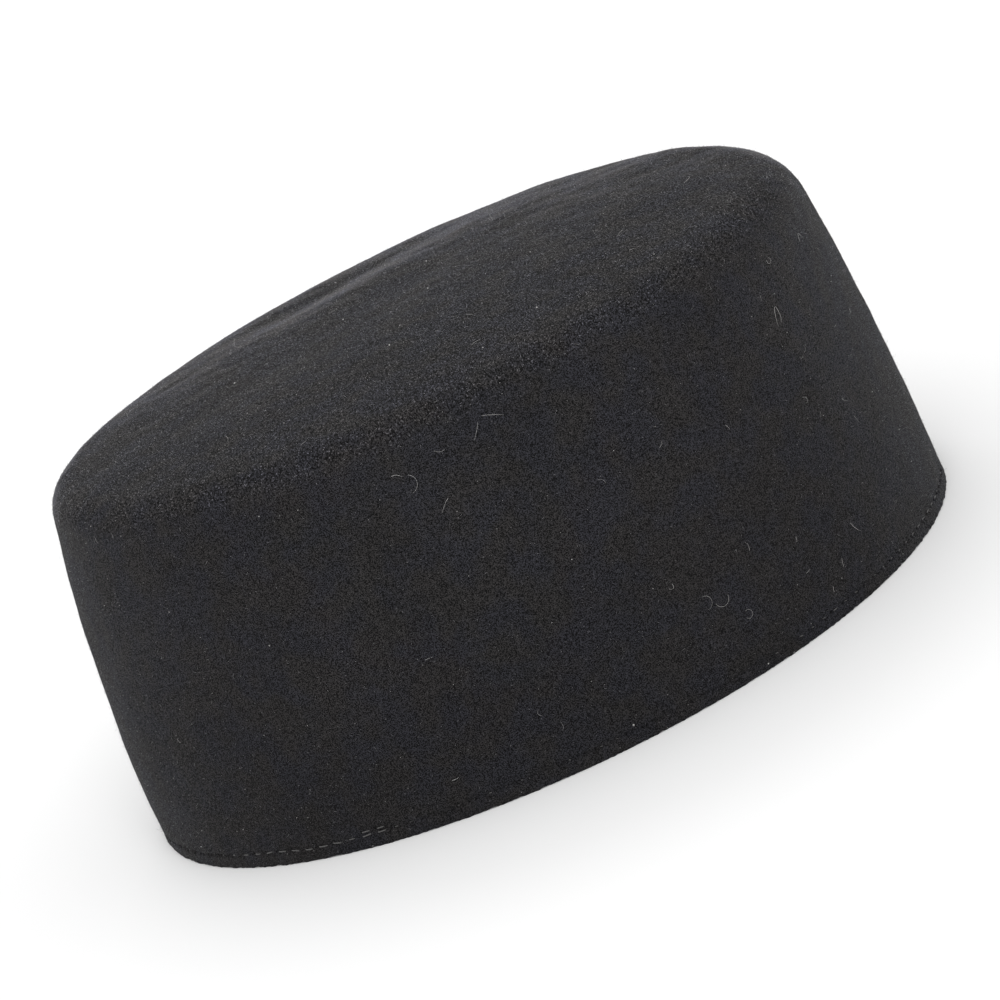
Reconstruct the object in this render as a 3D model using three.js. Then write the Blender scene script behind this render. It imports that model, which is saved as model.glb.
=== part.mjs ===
// A pillbox hat of wool felt, moulded in one piece. Millimetres, +Z up.
// The hat stands on its cut rim with its open side down. The long axis of its oval is X and
// +X is the front. The origin is the middle of the rim, on the surface that the rim rests on.

import * as THREE from "three";
import { mergeVertices } from "three/addons/utils/BufferGeometryUtils.js";

// Driving dimensions

// The outside of the rim: its length, and its width across the middle.
const RIM_LENGTH = 201;
const RIM_WIDTH = 167;
// The oval is fuller towards the front: what the half width gains there, as a share of itself.
const FRONT_FULLNESS = 0.03;

// From the rim to where the rounded edge meets the crown, and from there to the crown's middle.
const SIDE_HEIGHT = 85.2;
const CROWN_RISE = 5.1;

const FELT_THICKNESS = 2;

// At the sides of the head: how far the wall leans in on its way up, how far it swells
// outwards halfway, and the radius between wall and crown.
const WALL_LEAN = 8.9;
const WALL_SWELL = 1;
const EDGE_RADIUS = 12;

// How deep a full dent in the crown is.
const DENT_DEPTH = 1.3;

// Each end of the oval has its own lean, swell and radius, as shares of the ones at the sides.
const WALL_SECTIONS = {
  side: { lean: 1, swell: 1, radius: 1 },
  front: { lean: 0.67, swell: 1.1, radius: 1 },
  back: { lean: 0.94, swell: 2.3, radius: 0.67 },
};

// Soft dents in the crown. Places and widths are shares of the crown's half length and half
// width, and each depth is a share of DENT_DEPTH.
const CROWN_DENTS = [
  // The shallow hollow across the middle
  { x: -0.12, y: 0.1, acrossX: 0.5, acrossY: 0.38, depth: 1 },
  // The fold inside the far edge, along the head
  { x: 0.02, y: 0.73, acrossX: 0.36, acrossY: 0.14, depth: 0.9 },
];

// How finely the surface is divided.
const STEPS_AROUND = 72;
const WALL_STEPS = 6;
const EDGE_STEPS = 6;
const OUTER_CROWN_STEPS = 16;
const INNER_CROWN_STEPS = 11;

// The lean, swell and radius of the wall at a direction round the oval, whose cosine is given.
// They go from the sides' values to an end's with the square of the cosine.
function wallSection(cosine) {
  const end = cosine > 0 ? WALL_SECTIONS.front : WALL_SECTIONS.back;
  const { side } = WALL_SECTIONS;
  const mix = (name) => side[name] + (end[name] - side[name]) * cosine * cosine;
  return {
    lean: WALL_LEAN * mix("lean"),
    swell: WALL_SWELL * mix("swell"),
    radius: EDGE_RADIUS * mix("radius"),
  };
}

// The angles above the horizontal of the felt's outward normal where the rounded edge starts
// and ends, so that it runs smoothly out of the wall and into the domed crown.
function edgeAngles({ lean, swell, radius }) {
  const wallHeight = SIDE_HEIGHT - radius;
  const crownReach = (RIM_LENGTH + RIM_WIDTH) / 4 - lean - radius;
  return {
    start: Math.atan(lean / SIDE_HEIGHT + (4 * swell) / wallHeight),
    end: Math.PI / 2 - Math.atan((2 * CROWN_RISE) / crownReach),
  };
}

// A point of the wall, from share 0 at the rim to 1 at the rounded edge, as its height and its
// inset from the rim's oval. Depth is how far it lies under the outer face.
function wallPoint(section, share, depth) {
  const { start, end } = edgeAngles(section);
  const top = SIDE_HEIGHT - section.radius * (Math.sin(end) - Math.sin(start));
  const leanIn = (section.lean * share * top) / SIDE_HEIGHT;
  const swellOut = section.swell * 4 * share * (1 - share);
  return {
    inset: leanIn - swellOut + depth * Math.cos(start * share),
    height: share * (top - depth * Math.sin(start)),
  };
}

// A point of the rounded edge, from share 0 at the wall to 1 at the crown.
function edgePoint(section, share, depth) {
  const { start, end } = edgeAngles(section);
  const angle = start + (end - start) * share;
  const foot = wallPoint(section, 1, 0);
  const centreInset = foot.inset + section.radius * Math.cos(start);
  const centreHeight = foot.height - section.radius * Math.sin(start);
  const reach = section.radius - depth;
  return {
    inset: centreInset - reach * Math.cos(angle),
    height: centreHeight + reach * Math.sin(angle),
  };
}

// Puts a point with an inset from the rim's oval where it lies in plan.
function planPoint(cosine, sine, inset) {
  const fullness = 1 + FRONT_FULLNESS * cosine;
  return {
    x: (RIM_LENGTH / 2 - inset) * cosine,
    y: (RIM_WIDTH / 2 - inset) * sine * fullness,
  };
}

// How far the dents lower the crown at a point in plan.
function dentDepth(x, y) {
  const halfLength = planPoint(1, 0, edgePoint(wallSection(1), 1, 0).inset).x;
  const halfWidth = planPoint(0, 1, edgePoint(wallSection(0), 1, 0).inset).y;
  let depth = 0;
  for (const dent of CROWN_DENTS) {
    const across = (x / halfLength - dent.x) / dent.acrossX;
    const along = (y / halfWidth - dent.y) / dent.acrossY;
    depth += DENT_DEPTH * dent.depth * Math.exp(-across * across - along * along);
  }
  return depth;
}

// A point of the felt at a direction round the oval. A station names the zone that it lies in,
// its share of the way through it, and its depth under the outer face.
function feltPoint(turn, { zone, share, depth }) {
  const cosine = Math.cos(turn);
  const sine = Math.sin(turn);
  const section = wallSection(cosine);
  if (zone === "wall") {
    const point = wallPoint(section, share, depth);
    return { ...planPoint(cosine, sine, point.inset), z: point.height };
  }
  if (zone === "edge") {
    const point = edgePoint(section, share, depth);
    const plan = planPoint(cosine, sine, point.inset);
    return { ...plan, z: point.height - share * dentDepth(plan.x, plan.y) };
  }
  const brink = edgePoint(section, 1, depth);
  const plan = planPoint(cosine, sine, brink.inset);
  const out = 1 - share;
  const x = plan.x * out;
  const y = plan.y * out;
  const rise = CROWN_RISE * (1 - out * out);
  return { x, y, z: SIDE_HEIGHT - depth + rise - dentDepth(x, y) };
}

// The stations of one section of the felt: up the inner face from the middle of the crown to
// the rim, across the cut rim, and back over the outer face.
function feltStations() {
  const zoneStations = (zone, depth, from, to, steps) => {
    const stations = [];
    for (let step = 0; step <= steps; step += 1) {
      stations.push({ zone, depth, share: from + ((to - from) * step) / steps });
    }
    return stations;
  };
  return [
    ...zoneStations("crown", FELT_THICKNESS, 1, 0, INNER_CROWN_STEPS),
    ...zoneStations("edge", FELT_THICKNESS, 1, 0, EDGE_STEPS).slice(1),
    ...zoneStations("wall", FELT_THICKNESS, 1, 0, WALL_STEPS).slice(1),
    ...zoneStations("wall", 0, 0, 1, WALL_STEPS),
    ...zoneStations("edge", 0, 0, 1, EDGE_STEPS).slice(1),
    ...zoneStations("crown", 0, 0, 1, OUTER_CROWN_STEPS).slice(1),
  ];
}

// The felt as a lathe that is turned round first, one column of stations for each step around,
// and then has every vertex put where the oval hat has it.
function feltGeometry() {
  const stations = feltStations();
  const profile = stations.map((_, index) => {
    const onAxis = index === 0 || index === stations.length - 1;
    return new THREE.Vector2(onAxis ? 0 : RIM_WIDTH / 2, index);
  });
  const lathe = new THREE.LatheGeometry(profile, STEPS_AROUND);
  const position = lathe.getAttribute("position");
  for (let index = 0; index < position.count; index += 1) {
    const step = Math.floor(index / stations.length);
    const turn = (2 * Math.PI * (step % STEPS_AROUND)) / STEPS_AROUND;
    const point = feltPoint(turn, stations[index % stations.length]);
    position.setXYZ(index, point.x, point.y, point.z);
  }
  lathe.deleteAttribute("normal");
  lathe.deleteAttribute("uv");
  const felt = mergeVertices(lathe);
  felt.computeVertexNormals();
  return felt;
}

const charcoalFelt = new THREE.MeshStandardMaterial({
  name: "charcoal_wool_felt",
  color: 0x2b2b2d,
  roughness: 0.97,
  metalness: 0,
});

const feltHat = new THREE.Mesh(feltGeometry(), charcoalFelt);
feltHat.name = "felt_hat";

const pillboxHat = new THREE.Group();
pillboxHat.name = "pillbox_hat";
pillboxHat.add(feltHat);

export default pillboxHat;
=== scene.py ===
"""A pillbox hat of charcoal wool felt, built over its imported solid.

The felt follows the solid's own sizes at a finer step, with the small unevenness that
moulding leaves, a cut rim, a row of lockstitches above it, a short nap of loose wool
fibres, and the pale lint that has settled on it. Lengths are in metres where no other unit
is named.
"""

import math
from collections import namedtuple

import bpy
import numpy as np
from bpy.props import FloatProperty, FloatVectorProperty, IntProperty, PointerProperty
from mathutils import Matrix, Vector


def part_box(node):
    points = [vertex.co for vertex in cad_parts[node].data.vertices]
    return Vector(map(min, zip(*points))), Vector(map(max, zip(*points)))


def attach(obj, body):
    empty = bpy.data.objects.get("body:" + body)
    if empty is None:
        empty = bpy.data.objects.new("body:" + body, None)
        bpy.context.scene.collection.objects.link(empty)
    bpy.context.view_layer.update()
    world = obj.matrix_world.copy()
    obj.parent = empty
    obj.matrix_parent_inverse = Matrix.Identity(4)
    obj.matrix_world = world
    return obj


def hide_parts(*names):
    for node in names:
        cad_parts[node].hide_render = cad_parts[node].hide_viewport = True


bl_info = {
    "name": "Pillbox Hat",
    "version": (1, 0, 0),
    "blender": (4, 5, 0),
    "location": "3D View > Sidebar > Pillbox Hat",
    "description": "Builds a felt pillbox hat with its nap, stitches and lint",
    "category": "Object",
}

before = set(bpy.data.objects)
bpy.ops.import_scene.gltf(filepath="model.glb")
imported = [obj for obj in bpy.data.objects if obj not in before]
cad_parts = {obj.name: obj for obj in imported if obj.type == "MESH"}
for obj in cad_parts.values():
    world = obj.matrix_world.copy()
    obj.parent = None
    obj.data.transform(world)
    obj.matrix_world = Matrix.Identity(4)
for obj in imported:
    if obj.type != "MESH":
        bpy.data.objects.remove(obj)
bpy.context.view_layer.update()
HAT_LOW, HAT_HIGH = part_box("felt_hat")

MM = 0.001
BODY = "root"

# How far the wall leans in, how much it swells and how round its upper edge is at the two
# ends of the oval, each as a share of the same value at the sides.
FRONT_WALL = {"lean": 0.67, "swell": 1.1, "radius": 1.0}
BACK_WALL = {"lean": 0.94, "swell": 2.3, "radius": 0.67}

# Soft dents in the crown: the middle and the half widths of each as shares of the crown's
# half length and half width, and the depth as a share of the full dent.
CROWN_DENTS = (
    {"x": -0.12, "y": 0.10, "across_x": 0.50, "across_y": 0.38, "depth": 1.0},
    {"x": 0.02, "y": 0.73, "across_x": 0.36, "across_y": 0.14, "depth": 0.9},
)

# The soft lumps that moulding leaves in the felt: the share of the unevenness, the number of
# waves and the length of each. They fade out towards the rim below the named height.
Lump = namedtuple("Lump", "share waves length")
FELT_LUMPS = (
    Lump(0.7, 40, 34 * MM),
    Lump(0.26, 60, 11 * MM),
    Lump(0.1, 80, 3.6 * MM),
)
LUMPS_FADE = 4 * MM

# The cut rim: the radius of its corners, how far the cut wavers and in what waves, and how
# deep its nicks are and how far apart.
RIM_CORNER = 0.32 * MM
CUT_TOP, CUT_WAVER, CUT_WAVELENGTH = 1.2 * MM, 0.06 * MM, 1.6 * MM
NICK_TOP, NICK_DEPTH, NICK_WAVELENGTH = 1.6 * MM, 0.16 * MM, 4.4 * MM

# Degrees round the oval with, at each, how far the row wavers above its height, in mm, and
# how loosely its thread lies, from 0 where it is pulled into the felt to 1 on top of it.
RowSpot = namedtuple("RowSpot", "turn waver slack")
ROW = (
    RowSpot(0, 0, 0),
    RowSpot(60, 0.3, 0.3),
    RowSpot(130, -0.2, -0.1),
    RowSpot(202, 0.3, -0.1),
    RowSpot(206, 0.6, 0.3),
    RowSpot(209, 0.3, 0.7),
    RowSpot(212, 0, 0.9),
    RowSpot(216, 0.2, 1),
    RowSpot(224, 0.3, 1),
    RowSpot(226, 0.3, 0.1),
    RowSpot(246, 0.65, 0),
    RowSpot(274, -0.45, 0),
    RowSpot(279, -0.55, 0.5),
    RowSpot(284, -0.6, 0.5),
    RowSpot(290, -0.3, -0.1),
    RowSpot(320, 0.2, 0),
)
# Where the overlapping end of the row starts, and how far the first stitch lies along it.
OVERLAP_TURN = 220.6
FIRST_STITCH = 0.45 * MM
# How the stitches pull the felt in: a trough along each one, its reach across and past the
# end, and a round hole a little past each end.
TROUGH_DEPTH, TROUGH_ACROSS, TROUGH_PAST = 0.24 * MM, 0.4 * MM, 0.3 * MM
HOLE_DEPTH, HOLE_RADIUS, HOLE_PAST = 0.55 * MM, 0.36 * MM, 0.3 * MM
# How much a loose thread eases its trough, how many thicknesses a tight one is sunk, and how
# much its slack differs from stitch to stitch.
SLACK_EASES, THREAD_SUNK, SLACK_WANDER = 0.6, 1.9, 0.12
# How far the thread goes on past its stitch, how deep it dives there, how far one end lies
# above the middle, and how much the stitches' places and slants differ.
THREAD_PAST, THREAD_DIVE, STITCH_SLANT, STITCH_WANDER = 0.18 * MM, 0.8 * MM, 0.05 * MM, 0.07 * MM
# The share by which the two plies swell the thread, and their turns along one stitch.
PLY_SWELL, PLY_TURNS = 0.16, 1.5

# The way the crown's nap is brushed, and how much longer than wide its grain is there.
BRUSH = (0.327, 0.945, 0)
BRUSHED_SHARE = 0.36
# The felt's wool, matted and raised between, and a much paler copy mixed in on the crown at
# grazing angles, which is painted sheen. Each has a tone, as a share of the felt's colour, and
# its weight of sheen.
Wool = namedtuple("Wool", "tone sheen")
FELT_WOOL_AND_SHEEN = (Wool(0.15, 0.03), Wool(2.35, 0.34), Wool(7.0, 0.34))
# How deep a fibre's root sits in the felt, the least height of what grows or settles on it,
# the share of the hat's height where the crown's nap starts, and the quarters of the wall.
ROOT_DEPTH = 0.05 * MM
CLEAR_OF_RIM = 0.4 * MM
CROWN_START = 0.86
WALL_QUARTERS = ("front", "back", "near_side", "far_side")
# The ranges that fibres are drawn from: lengths and widths as shares of the usual one, and
# degrees off the felt from the lowest to the highest.
SHORT_LENGTHS, SHORT_WIDTHS, SHORT_LIFTS = (0.25, 1.0), (0.7, 1.2), (8, 62)
LONG_LENGTHS, LONG_LOWEST, LONG_HIGHEST = (0.4, 1.0), 10, 70
# A long fibre at its root, middle and tip: its rise and its width as shares of the whole. Then
# how far it bends sideways, as a share of its length.
LONG_RISE, LONG_WIDTH, LONG_BEND = (0, 0.62, 0.8), (1.0, 0.8, 0.3), 0.45

# The hairs that show most. Each starts at a turn round the oval, in degrees, and a place up
# the felt, and sets off at a heading, in degrees from the way round towards the way up. It
# has a length in mm, turns by curl degrees on its way, and ends with its tip mm off the nap.
Hair = namedtuple("Hair", "turn up heading length curl tip", defaults=(0.0,))
LINT_HAIRS = (
    Hair(305.5, 0.87, 230, 4.5, 25),
    Hair(305.5, 0.87, 290, 3.9, -60),
    Hair(309, 0.99, 230, 3.6, 270),
    Hair(321, 0.97, 215, 2.0, 35),
    Hair(321, 0.97, -50, 2.4, -10),
    Hair(287.5, 0.68, 305, 1.7, -25),
    Hair(304, 0.92, 230, 1.1, 25),
    Hair(324.5, 0.68, 240, 1.2, 15),
    Hair(309, 0.52, 300, 2.3, 45),
    Hair(289.5, 0.29, 270, 1.2, -30),
    Hair(299, 0.22, 285, 3.6, 30),
    Hair(295, 0.15, 240, 1.9, 30),
    Hair(288.5, 0.18, 0, 1.4, 15),
    Hair(273.5, 0.29, 10, 5.2, -190),
    Hair(275, 0.26, 270, 5.4, 180),
    Hair(278, 0.185, 40, 4.6, -270),
    Hair(257, 1.15, 240, 4.0, -10),
    Hair(257.5, 1.2, -15, 4.8, -15),
    Hair(250, 1.03, 305, 2.5, 70),
    Hair(245.5, 0.97, -20, 5.2, -145),
    Hair(243.5, 0.98, 15, 2.3, -70),
    Hair(249.5, 0.87, 215, 3.4, 20),
    Hair(235.5, 0.12, 0, 1.6, 10),
    Hair(231.5, 2.01, 60, 1.6, -20),
    Hair(269.5, 2.46, -45, 2.4, -50),
    Hair(263, 2.19, 45, 2.5, -60),
    Hair(343.5, 2.15, 165, 4.5, -20),
    Hair(317, 2.3, 160, 4.5, 60),
    Hair(207, 2.24, -30, 4.5, -30),
    Hair(17, 2.45, 125, 4.0, 25, 0.6),
    Hair(41, 2.41, -65, 2.6, 25, 1.8),
    Hair(115, 2.24, 30, 2.0, 60, 1.6),
    Hair(120, 2.34, -40, 1.8, -50, 1.4),
)
# The specks that show most: turn and place up the felt as above, and size in mm.
Speck = namedtuple("Speck", "turn up size")
LINT_SPECKS = (
    Speck(259, 0.06, 0.23),
    Speck(324, 2.92, 0.23),
    Speck(166, 2.5, 0.23),
    Speck(134, 2.8, 0.22),
    Speck(320, 0.3, 0.18),
    Speck(219, 0.64, 0.18),
    Speck(278, 0.02, 0.18),
    Speck(58, 2.63, 0.18),
    Speck(264, 2.12, 0.18),
    Speck(224, 2.2, 0.18),
    Speck(245, 2.52, 0.18),
    Speck(278, 2.2, 0.18),
    Speck(299, 2.06, 0.18),
    Speck(321, 2.6, 0.18),
)
HAIR_LIFT, HAIR_RADIUS = 0.14 * MM, 0.026 * MM
# The scattered lint: the ranges of the hairs' lengths and radii, in mm, how much they turn
# and curl, in radians, their lift at the ends and more in the middle, in mm, the usual speck
# and the spread of the specks' sizes.
LOOSE_LENGTHS, LOOSE_RADII = (0.6, 2.6), (0.012, 0.024)
LOOSE_TURN, LOOSE_CURL, LOOSE_LIFTS = 1.6, 1.2, (0.06, 0.16)
SPECK_SIZE, SPECK_SPREAD = 0.052 * MM, 0.35

# The soft lights, with the width and the power in watts, and the strength of the white all
# round.
Light = namedtuple("Light", "name place width power")
LIGHTS = (
    Light("over_camera", (-0.45, -1.4, 2.0), 1.5, 18),
    Light("behind", (0.3, 1.6, 1.7), 1.5, 10),
)
LIGHTS_AIM = (0, 0, 0.05)
WORLD_STRENGTH = 0.9
FLOOR_REACH = 12.0
# The height of the hat's middle, which the camera turns about.
VIEW_MIDDLE = 42.6 * MM

# How finely the pieces are divided. The band above the rim has a step that is fine enough for
# the stitches' dimples.
COLUMNS, INNER_COLUMNS, FINE_COLUMNS = 320, 160, 1920
FINE_BAND, FINE_STEPS = 4.6 * MM, 15
OUTER_STEPS = {"wall": 49, "edge": 16, "crown": 50}
INNER_STEPS = {"wall": 27, "edge": 8, "crown": 24}
# Within these shares of the crown's reach, its rings have a quarter and a sixteenth of the
# points.
QUARTER_WITHIN, SIXTEENTH_WITHIN = 0.3, 0.08
# The steps in which the way round the rim is measured.
TRAVEL_STEPS = 2880
THREAD_SIDES, THREAD_STEPS = 8, 9
HAIR_STEPS = 13
FLOOR_LINES = 13

# Seeds of the random draws.
FELT_SEED, STITCH_SEED, LONG_NAP_SEED, NAP_SEED, LINT_SEED = 11, 7, 99, 100, 23


# Sizes and colours that can be changed


def length_prop(name, description, default):
    """A length."""
    return FloatProperty(name=name, description=description, unit="LENGTH", default=default)


def number_prop(name, description, default):
    """A number of things."""
    return IntProperty(name=name, description=description, default=default)


def angle_prop(name, description, degrees):
    """An angle, given in degrees."""
    default = math.radians(degrees)
    return FloatProperty(name=name, description=description, subtype="ANGLE", default=default)


def color_prop(name, description, default):
    """A colour."""
    return FloatVectorProperty(
        name=name, description=description, subtype="COLOR", size=3, min=0, max=1,
        default=default,
    )


class FeltSizes(bpy.types.PropertyGroup):
    """The hat's form and the unevenness of its felt."""

    rim_length: length_prop("Rim Length", "Outside length", HAT_HIGH.x - HAT_LOW.x)
    rim_width: length_prop("Rim Width", "Outside width", HAT_HIGH.y - HAT_LOW.y)
    front_fullness: FloatProperty(
        name="Front Fullness", description="Share by which the oval is wider in front",
        default=0.03,
    )
    side_height: length_prop("Side Height", "Rim to the start of the crown", 85.2 * MM)
    crown_rise: length_prop("Crown Rise", "Rise of the crown to its middle", 5.1 * MM)
    thickness: length_prop("Felt Thickness", "Thickness of the felt", 2 * MM)
    wall_lean: length_prop("Wall Lean", "How far the sides lean in", 8.9 * MM)
    wall_swell: length_prop("Wall Swell", "How far the sides swell out", 1 * MM)
    edge_radius: length_prop("Edge Radius", "Radius between the sides and the crown", 12 * MM)
    dent_depth: length_prop("Dent Depth", "Depth of a full dent in the crown", 1.3 * MM)
    unevenness: length_prop("Unevenness", "Height of the soft lumps of the felt", 0.16 * MM)
    felt_color: color_prop("Felt Colour", "Colour of the felt", (0.0142, 0.0141, 0.0151))


class NapSizes(bpy.types.PropertyGroup):
    """The loose wool fibres that stand out of the felt."""

    crown_fibres: number_prop(
        "Crown Fibres", "Short fibres in each of the crown's two layers", 42000,
    )
    wall_fibres: number_prop("Wall Fibres", "Short fibres in each quarter of the wall", 17000)
    long_fibres: number_prop("Long Fibres", "Long fibres on the whole hat", 7000)
    length: length_prop("Short Length", "Longest short fibre", 0.8 * MM)
    long_length: length_prop("Long Length", "Longest long fibre", 1.7 * MM)
    thickness: length_prop("Thickness", "Width of a fibre at its root", 0.032 * MM)
    # Much lighter than the felt: partly the fibres' own colour, partly painted sheen.
    fibre_color: color_prop("Fibre Colour", "Colour of the loose fibres", (0.073, 0.072, 0.075))


class StitchSizes(bpy.types.PropertyGroup):
    """The lockstitches above the rim."""

    height: length_prop("Height", "Height of the row above the rim", 2.9 * MM)
    pitch: length_prop("Pitch", "From one stitch to the next", 3.7 * MM)
    length: length_prop("Length", "Thread that shows between two holes", 2.1 * MM)
    thread: length_prop("Thread", "Thickness of the thread", 0.25 * MM)
    overlap_rise: length_prop("Overlap Rise", "Height of the overlap above the row", 0.9 * MM)
    overlap_stitches: number_prop("Overlap Stitches", "Stitches in the overlapping end", 2)
    thread_color: color_prop("Thread Colour", "Colour of the thread", (0.1, 0.098, 0.096))


class LintSizes(bpy.types.PropertyGroup):
    """The pale fibres and specks on the felt."""

    hairs: number_prop("Hairs", "Scattered fine hairs", 80)
    specks: number_prop("Specks", "Scattered pale specks", 1900)
    lint_color: color_prop("Lint Colour", "Colour of the lint", (0.56, 0.55, 0.54))


class StageSizes(bpy.types.PropertyGroup):
    """The floor and the camera."""

    view_azimuth: angle_prop("Azimuth", "Camera's turn round the hat", -19.08)
    view_elevation: angle_prop("Elevation", "Camera's height over the hat", 16.57)
    view_roll: angle_prop("Roll", "Camera's tilt to one side", -23.73)
    view_distance: length_prop("Distance", "Camera to the middle of the hat", 1.004)
    lens: FloatProperty(name="Lens", description="Focal length, mm", default=158.46)
    aim_right: length_prop("Aim Right", "Aim to the right of the hat's middle", 3.95 * MM)
    aim_down: length_prop("Aim Down", "Aim below the hat's middle", 4.23 * MM)
    floor_color: color_prop("Floor Colour", "Colour of the floor", (0.9, 0.9, 0.9))


# Surfaces as whole arrays of points


def wall_section(sizes, cosine):
    """Lean, swell and edge radius in a direction round the oval: the sides' values, going
    over to an end's with the square of the direction's cosine."""
    weight = cosine**2

    def mixed(side, name):
        end = np.where(cosine > 0, FRONT_WALL[name], BACK_WALL[name])
        return side * (1 + (end - 1) * weight)

    return (
        mixed(sizes.wall_lean, "lean"),
        mixed(sizes.wall_swell, "swell"),
        mixed(sizes.edge_radius, "radius"),
    )


def edge_angles(sizes, section):
    """Elevations of the felt's normal where the rounded edge starts and ends: the wall's
    slope at its top, and a right angle less the crown's slope at its brink."""
    lean, swell, radius = section
    start = np.arctan(lean / sizes.side_height + 4 * swell / (sizes.side_height - radius))
    reach = (sizes.rim_length + sizes.rim_width) / 4 - lean - radius
    return start, np.pi / 2 - np.arctan(2 * sizes.crown_rise / reach)


def wall_profile(sizes, section, share, depth):
    """Inset and height on the wall: a straight lean less a parabola's swell, moved inwards
    by depth along the normal."""
    lean, swell, radius = section
    start, end = edge_angles(sizes, section)
    top = sizes.side_height - radius * (np.sin(end) - np.sin(start))
    inset = lean * share * top / sizes.side_height - swell * 4 * share * (1 - share)
    return inset + depth * np.cos(start * share), share * (top - depth * np.sin(start))


def edge_profile(sizes, section, share, depth):
    """Inset and height on the rounded edge: an arc that goes on where the wall ends."""
    radius = section[2]
    start, end = edge_angles(sizes, section)
    angle = start + (end - start) * share
    foot_inset, foot_height = wall_profile(sizes, section, 1.0, 0.0)
    inset = foot_inset + radius * np.cos(start) - (radius - depth) * np.cos(angle)
    height = foot_height - radius * np.sin(start) + (radius - depth) * np.sin(angle)
    return inset, height


def plan_place(sizes, turn, inset):
    """X and Y of a point inset from the rim's oval, which is a little fuller in front."""
    cosine, sine = np.cos(turn), np.sin(turn)
    x = (sizes.rim_length / 2 - inset) * cosine
    y = (sizes.rim_width / 2 - inset) * sine * (1 + sizes.front_fullness * cosine)
    return x, y


def dent_depth(sizes, x, y):
    """How far the dents lower the crown: a sum of bell curves over the plan."""
    front = edge_profile(sizes, wall_section(sizes, np.float64(1)), 1.0, 0.0)[0]
    side = edge_profile(sizes, wall_section(sizes, np.float64(0)), 1.0, 0.0)[0]
    half_length = sizes.rim_length / 2 - front
    half_width = sizes.rim_width / 2 - side
    depth = 0
    for dent in CROWN_DENTS:
        across = (x / half_length - dent["x"]) / dent["across_x"]
        along = (y / half_width - dent["y"]) / dent["across_y"]
        depth = depth + sizes.dent_depth * dent["depth"] * np.exp(-(across**2) - along**2)
    return depth


def felt_place(sizes, turn, zone, share, depth):
    """Points of the felt at turns round the oval, a share of the way through a zone."""
    section = wall_section(sizes, np.cos(turn))
    if zone == "wall":
        inset, height = wall_profile(sizes, section, share, depth)
        x, y = plan_place(sizes, turn, inset)
        return np.stack([x, y, height], 1)
    if zone == "edge":
        inset, height = edge_profile(sizes, section, share, depth)
        x, y = plan_place(sizes, turn, inset)
        return np.stack([x, y, height - share * dent_depth(sizes, x, y)], 1)
    inset, _ = edge_profile(sizes, section, 1.0, depth)
    x, y = (1 - share) * np.stack(plan_place(sizes, turn, inset))
    rise = sizes.crown_rise * (1 - (1 - share) ** 2)
    height = sizes.side_height - depth + rise - dent_depth(sizes, x, y)
    return np.stack([x, y, height], 1)


def turns_round(count):
    """Evenly spaced turns all the way round the oval."""
    return np.linspace(0, 2 * np.pi, count, endpoint=False)


def wall_share(sizes, height):
    """A height on the wall as a share of the wall's own height at the sides."""
    return height / (sizes.side_height - sizes.edge_radius)


def on_felt(sizes, spots):
    """Points of the outer face at spots: degrees round the oval, and how far up the felt,
    from 0 at the rim over 1 and 2 at the edge's foot and brink to 3 at the crown's middle."""
    turn, station = np.radians([spot[0] for spot in spots]), np.array([spot[1] for spot in spots])
    wall, edge, crown = (
        felt_place(sizes, turn, zone, np.clip(station - first, 0, 1), 0.0)
        for first, zone in enumerate(("wall", "edge", "crown"))
    )
    upper = np.where((station > 2)[:, None], crown, edge)
    return np.where((station > 1)[:, None], upper, wall)


def unit(vectors):
    """The vectors at length 1."""
    return vectors / np.maximum(np.linalg.norm(vectors, axis=-1, keepdims=True), 1e-15)


def waves(points, rng, count, wavelength, spread=0.35):
    """Smooth noise of about unit height: plane waves in random directions with lengths
    near the given one, summed. It has no seam anywhere."""
    directions = unit(rng.normal(size=(count, 3)))
    lengths = wavelength * np.exp(rng.normal(0, spread, count))
    phases = rng.uniform(0, 2 * np.pi, count)
    total = np.zeros(len(points))
    for direction, length, phase in zip(directions, lengths, phases):
        total += np.cos(points @ direction * (2 * np.pi / length) + phase)
    return total / math.sqrt(count / 2)


def skin_rings(rings):
    """Vertices and triangles of a closed skin over rings of points. Neighbouring rings are
    joined column by column. Where one has more points, each of the other's steps is joined
    by a fan, and a ring of one point closes an end."""
    starts = np.cumsum([0] + [len(ring) for ring in rings])
    faces = []
    for index in range(len(rings) - 1):
        low, high = len(rings[index]), len(rings[index + 1])
        first, second = starts[index], starts[index + 1]
        faces.append(join_rings(first, low, second, high))
    return np.concatenate(rings), np.concatenate(faces)


def join_rings(first, low, second, high):
    """Triangles between two rings. The ring with more points gets one triangle for each of
    its steps, with its tip at the nearest point of the other ring, which gets one for each
    of its own steps."""
    if low < high:
        return join_rings(second, high, first, low)[:, ::-1]
    ratio = low // high
    fine = np.arange(low)
    tip = (fine + ratio // 2) // ratio % high
    on = np.stack([first + (fine + 1) % low, second + tip, first + fine], 1)
    if high == 1:
        return on
    coarse = np.arange(high)
    split = (coarse * ratio + ratio - ratio // 2) % low
    back = np.stack([first + split, second + (coarse + 1) % high, second + coarse], 1)
    return np.concatenate([on, back])


def area_vectors(points, faces):
    """The triangles' normals, each twice as long as its triangle's area."""
    a, b, c = (points[faces[:, corner]] for corner in range(3))
    return np.cross(b - a, c - a)


def vertex_normals(points, faces):
    """Unit normals at the points: the sum of their triangles' area vectors."""
    area = area_vectors(points, faces)
    normals = np.zeros_like(points)
    for axis in range(3):
        for corner in range(3):
            normals[:, axis] += np.bincount(faces[:, corner], area[:, axis], len(points))
    return unit(normals)


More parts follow.
